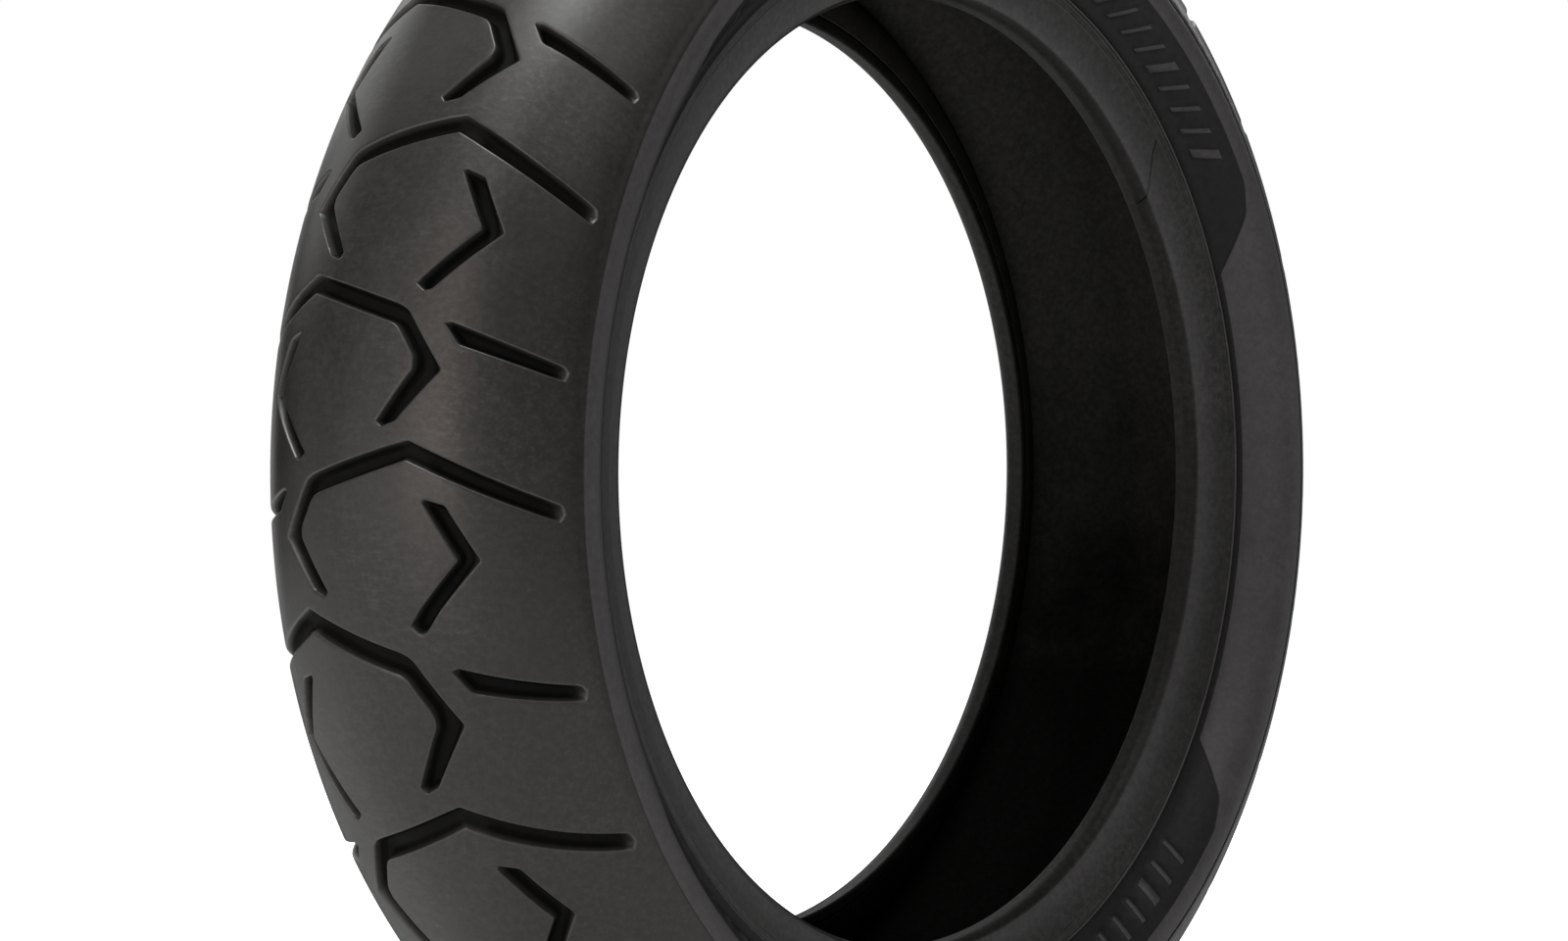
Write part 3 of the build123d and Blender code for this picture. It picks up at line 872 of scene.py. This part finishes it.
def chafer_detail(tree, place, colour, level, rough):
    # a painted highlight on the band over the heel, painted light making the -X side paler, a
    # dark toe and a black splice line
    toe, seam, band = (attribute(tree, name) for name in ("toe", "seam", "band"))
    heel_highlight_colour = mix(tree, 0.5, colour, (0.095, 0.0885, 0.0925))
    colour = tint(tree, colour, band, 0.75, heel_highlight_colour)
    painted_light_minus_x = fade(tree, axis(tree, place, "X"), start=-0.09, end=-0.19)
    colour = tint(tree, colour, painted_light_minus_x, 0.75, (0.048, 0.0455, 0.0460))
    colour = tint(tree, colour, toe, 0.55, (0.007, 0.0068, 0.006))
    colour = tint(tree, colour, seam, 0.9, (0.002, 0.002, 0.002))
    for mask, amount in ((toe, 0.5), (seam, 0.1), (band, 1.25)):
        level = scaled(tree, level, mask, amount)
    return colour, level, rough


def liner_detail(tree, place, colour, level, rough):
    # painted shade: darker below a ragged line, towards the bottom
    ragged = noise(tree, place, scale=14.0, detail=5.0, rough=0.65)
    height = add(tree, axis(tree, place, "Z"), mul(tree, sub(tree, ragged, 0.5), 0.25))
    low = fade(tree, height, start=0.06, end=-0.10)
    colour = tint(tree, colour, low, 0.85, (0.0015, 0.0014, 0.0012))
    return colour, scaled(tree, level, low, amount=0.25), rough


TREAD_RUBBER = rubber(
    "tread_rubber", (0.0146, 0.0139, 0.0120), rough=0.37, grain=0.12, mottle=0.16,
    dust=(0.045, 0.0425, 0.039), dust_amount=0.18, speck=0.09, detail=tread_detail)
WALL_RUBBER = rubber(
    "sidewall_rubber", (0.0490, 0.0452, 0.0466), rough=0.47, grain=0.13, mottle=0.17,
    dust=(0.09, 0.083, 0.088), dust_amount=0.22, speck=0.15, edge_from=0.34,
    detail=wall_detail)
CHAFER_RUBBER = rubber(
    "chafer_rubber", (0.0190, 0.0183, 0.0172), rough=0.47, grain=0.14, mottle=0.26,
    dust=(0.06, 0.057, 0.056), dust_amount=0.4, specular=0.38, speck=0.26,
    detail=chafer_detail)
LINER_RUBBER = rubber(
    "liner_rubber", (0.0255, 0.0245, 0.0214), rough=0.62, grain=0.2, mottle=0.35,
    dust=(0.05, 0.047, 0.04), dust_amount=0.35, specular=0.4, detail=liner_detail)
BASE_RUBBER = rubber("base_rubber", (0.03, 0.027, 0.025), rough=0.7)


# ------------------------------------------------------------------ cords and wire
def cord(name, base, scale):
    """Fine bands across Y."""
    material, tree, shader = new_material(name)
    wave = node(tree, "ShaderNodeTexWave", Vector=object_place(tree), Scale=scale,
                Distortion=0.6, Detail=2.0)
    wave.bands_direction = "Y"
    bands = wave.outputs["Fac"]
    fill(tree, shader, Base_Color=mix(tree, bands, shade(base, 0.6), base), Roughness=0.75,
         Specular_IOR_Level=0.3, Normal=bump(tree, bands, Strength=0.4, Distance=0.0004))
    return material


def wire(name):
    """Brassy metal."""
    material, tree, shader = new_material(name)
    stains = noise(tree, object_place(tree), scale=120.0)
    fill(tree, shader, Base_Color=mix(tree, stains, (0.32, 0.22, 0.10), (0.52, 0.39, 0.2)),
         Metallic=1.0, Roughness=add(tree, mul(tree, stains, 0.2), 0.25))
    return material


BELT_CORD = cord("belt_cord", (0.2, 0.17, 0.1), scale=260.0)
PLY_CORD = cord("carcass_cord", (0.22, 0.2, 0.16), scale=320.0)
BEAD_WIRE = wire("bead_wire")


# ------------------------------------------------------------------ pieces
def install(ob, material, replaced):
    """Puts a new piece in the place of a CAD piece."""
    ob.data.materials.append(material)
    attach(ob, "root")
    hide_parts(replaced)


install(tread_piece(), TREAD_RUBBER, "tread_cap")

wall_drawing = draw_wall()
for tag in ("right", "left"):
    on_left = tag == "left"
    install(wall_piece("sidewall_skin_" + tag, wall_drawing, on_left),
            WALL_RUBBER, "sidewall_" + tag)
    install(slanted_ring("chafer_ring_" + tag, chafer_stations(), 480,
                         [(CHAFER_SPLICES[tag], splice_depth)], side=-1 if on_left else 1),
            CHAFER_RUBBER, "chafer_" + tag)

install(slanted_ring("liner_skin", liner_stations(), 240, LINER_SPLICES),
        LINER_RUBBER, "inner_liner")


def inner_material(name):
    """Material of a CAD piece that is kept."""
    if "wires" in name:
        return BEAD_WIRE
    if "belt" in name and "filler" not in name:
        return BELT_CORD
    if "ply" in name or "flipper" in name:
        return PLY_CORD
    return BASE_RUBBER


for name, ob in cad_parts.items():
    if name in ("tread_cap", "inner_liner") or name.startswith(("sidewall", "chafer")):
        continue
    ob.data.materials.clear()
    ob.data.materials.append(inner_material(name))
    for polygon in ob.data.polygons:
        polygon.material_index = 0

# ------------------------------------------------------------------ floor and world
FLOOR_HALF = 14.0               # m
FLOOR_GAP = 0.1                 # mm under the tread
FLOOR_GLOW = 0.8                # glow near the tyre, seen by the camera only
GLOW_FROM, GLOW_TO = 1.0, 3.2   # m from the origin, where the glow rises to 1


def floor_paint():
    material, tree, shader = new_material("floor_paint")
    seen = node(tree, "ShaderNodeLightPath").outputs["Is Camera Ray"]
    away = node(tree, "ShaderNodeVectorMath")
    away.operation = "LENGTH"
    position = node(tree, "ShaderNodeNewGeometry").outputs["Position"]
    tree.links.new(position, away.inputs[0])
    # the lamps don't reach the far floor, so it glows more and runs into the background
    glow = fade(tree, away.outputs["Value"], GLOW_FROM, GLOW_TO, lowest=FLOOR_GLOW)
    fill(tree, shader, Base_Color=(0.93, 0.93, 0.93), Roughness=0.9,
         Emission_Color=(1, 1, 1), Emission_Strength=mul(tree, seen, glow))
    return material


def add_floor():
    bm = bmesh.new()
    bmesh.ops.create_grid(bm, x_segments=2, y_segments=2, size=FLOOR_HALF)
    bmesh.ops.translate(bm, verts=bm.verts, vec=(0, 0, -(CROWN_RADIUS + FLOOR_GAP) / 1000))
    floor = make_object("floor", bm)
    floor.data.materials.append(floor_paint())


def set_world():
    """White to the camera, giving no light."""
    world = bpy.data.worlds.new("studio")
    bpy.context.scene.world = world
    world.use_nodes = True
    tree = world.node_tree
    seen = node(tree, "ShaderNodeLightPath").outputs["Is Camera Ray"]
    fill(tree, tree.nodes["Background"], Color=(1, 1, 1), Strength=seen)


add_floor()
set_world()
bpy.context.scene.view_settings.view_transform = "Standard"

# ------------------------------------------------------------------ lights
# Soft round lamps on a dome, facing the origin.
DOME_RADIUS = 2.8
LAMP_SIZE = 1.3
LAMP_GAIN = 1.07                # on all the watts below
WARM = (1.0, 0.88, 0.85)        # the low lamps on the -X side
LAMPS = [                       # (azimuth from +X towards +Y, elevation, watts)
    (0, 25, 9.0), (30, 25, 9.0), (60, 25, 8.0), (30, 50, 5.0), (0, 0, 2.3),
    (60, 0, 6.0), (120, 0, 1.4), (150, 0, 4.8), (180, 0, 13.5), (210, 0, 1.6),
    (240, 0, 1.0), (330, 0, 2.2), (90, 25, 5.0), (150, 25, 2.4), (180, 25, 7.7),
    (210, 25, 1.4), (240, 25, 1.5), (300, 25, 3.8), (60, 50, 3.0), (120, 50, 3.0),
    (180, 50, 6.5), (240, 50, 5.4), (270, 50, 2.9), (180, 75, 28.0), (210, 75, 8.5),
]


def add_lamp(azimuth, elevation, watts):
    name = "panel_%d_%d" % (azimuth, elevation)
    light = bpy.data.lights.new(name, "AREA")
    light.shape = "DISK"
    light.size = LAMP_SIZE
    light.energy = watts * LAMP_GAIN
    if azimuth == 180 and elevation < 30:
        light.color = WARM
    lamp = bpy.data.objects.new(name, light)
    lamp.visible_camera = False
    az, el = math.radians(azimuth), math.radians(elevation)
    place = Vector((math.cos(az) * math.cos(el), math.sin(az) * math.cos(el), math.sin(el)))
    lamp.location = place * DOME_RADIUS
    lamp.rotation_euler = (-place * DOME_RADIUS).to_track_quat("-Z", "Y").to_euler()
    bpy.context.scene.collection.objects.link(lamp)


for lamp_row in LAMPS:
    add_lamp(*lamp_row)

# ------------------------------------------------------------------ camera
# It stands on the -X, -Y side and looks at the origin.
YAW = 0.9083                    # radians, view direction turned from +Y towards +X
TILT = -0.0099                  # radians, turn of the view about X
DISTANCE = 2.03834              # m
LENS = 102.084075               # mm
SENSOR_WIDTH = 36.0             # mm
SHIFT_X, SHIFT_Y = -0.0307625, 0.0002125


def add_camera():
    data = bpy.data.cameras.new("camera")
    data.sensor_width = SENSOR_WIDTH
    data.lens = LENS
    data.shift_x = SHIFT_X
    data.shift_y = SHIFT_Y
    data.clip_end = 100.0
    camera = bpy.data.objects.new("camera", data)
    camera.location = Vector((-DISTANCE * math.sin(YAW),
                              -DISTANCE * math.cos(YAW) * math.cos(TILT),
                              -DISTANCE * math.cos(YAW) * math.sin(TILT)))
    view = (-camera.location).normalized()
    camera.rotation_euler = view.to_track_quat("-Z", "Y").to_euler()
    bpy.context.scene.collection.objects.link(camera)
    bpy.context.scene.camera = camera


add_camera()
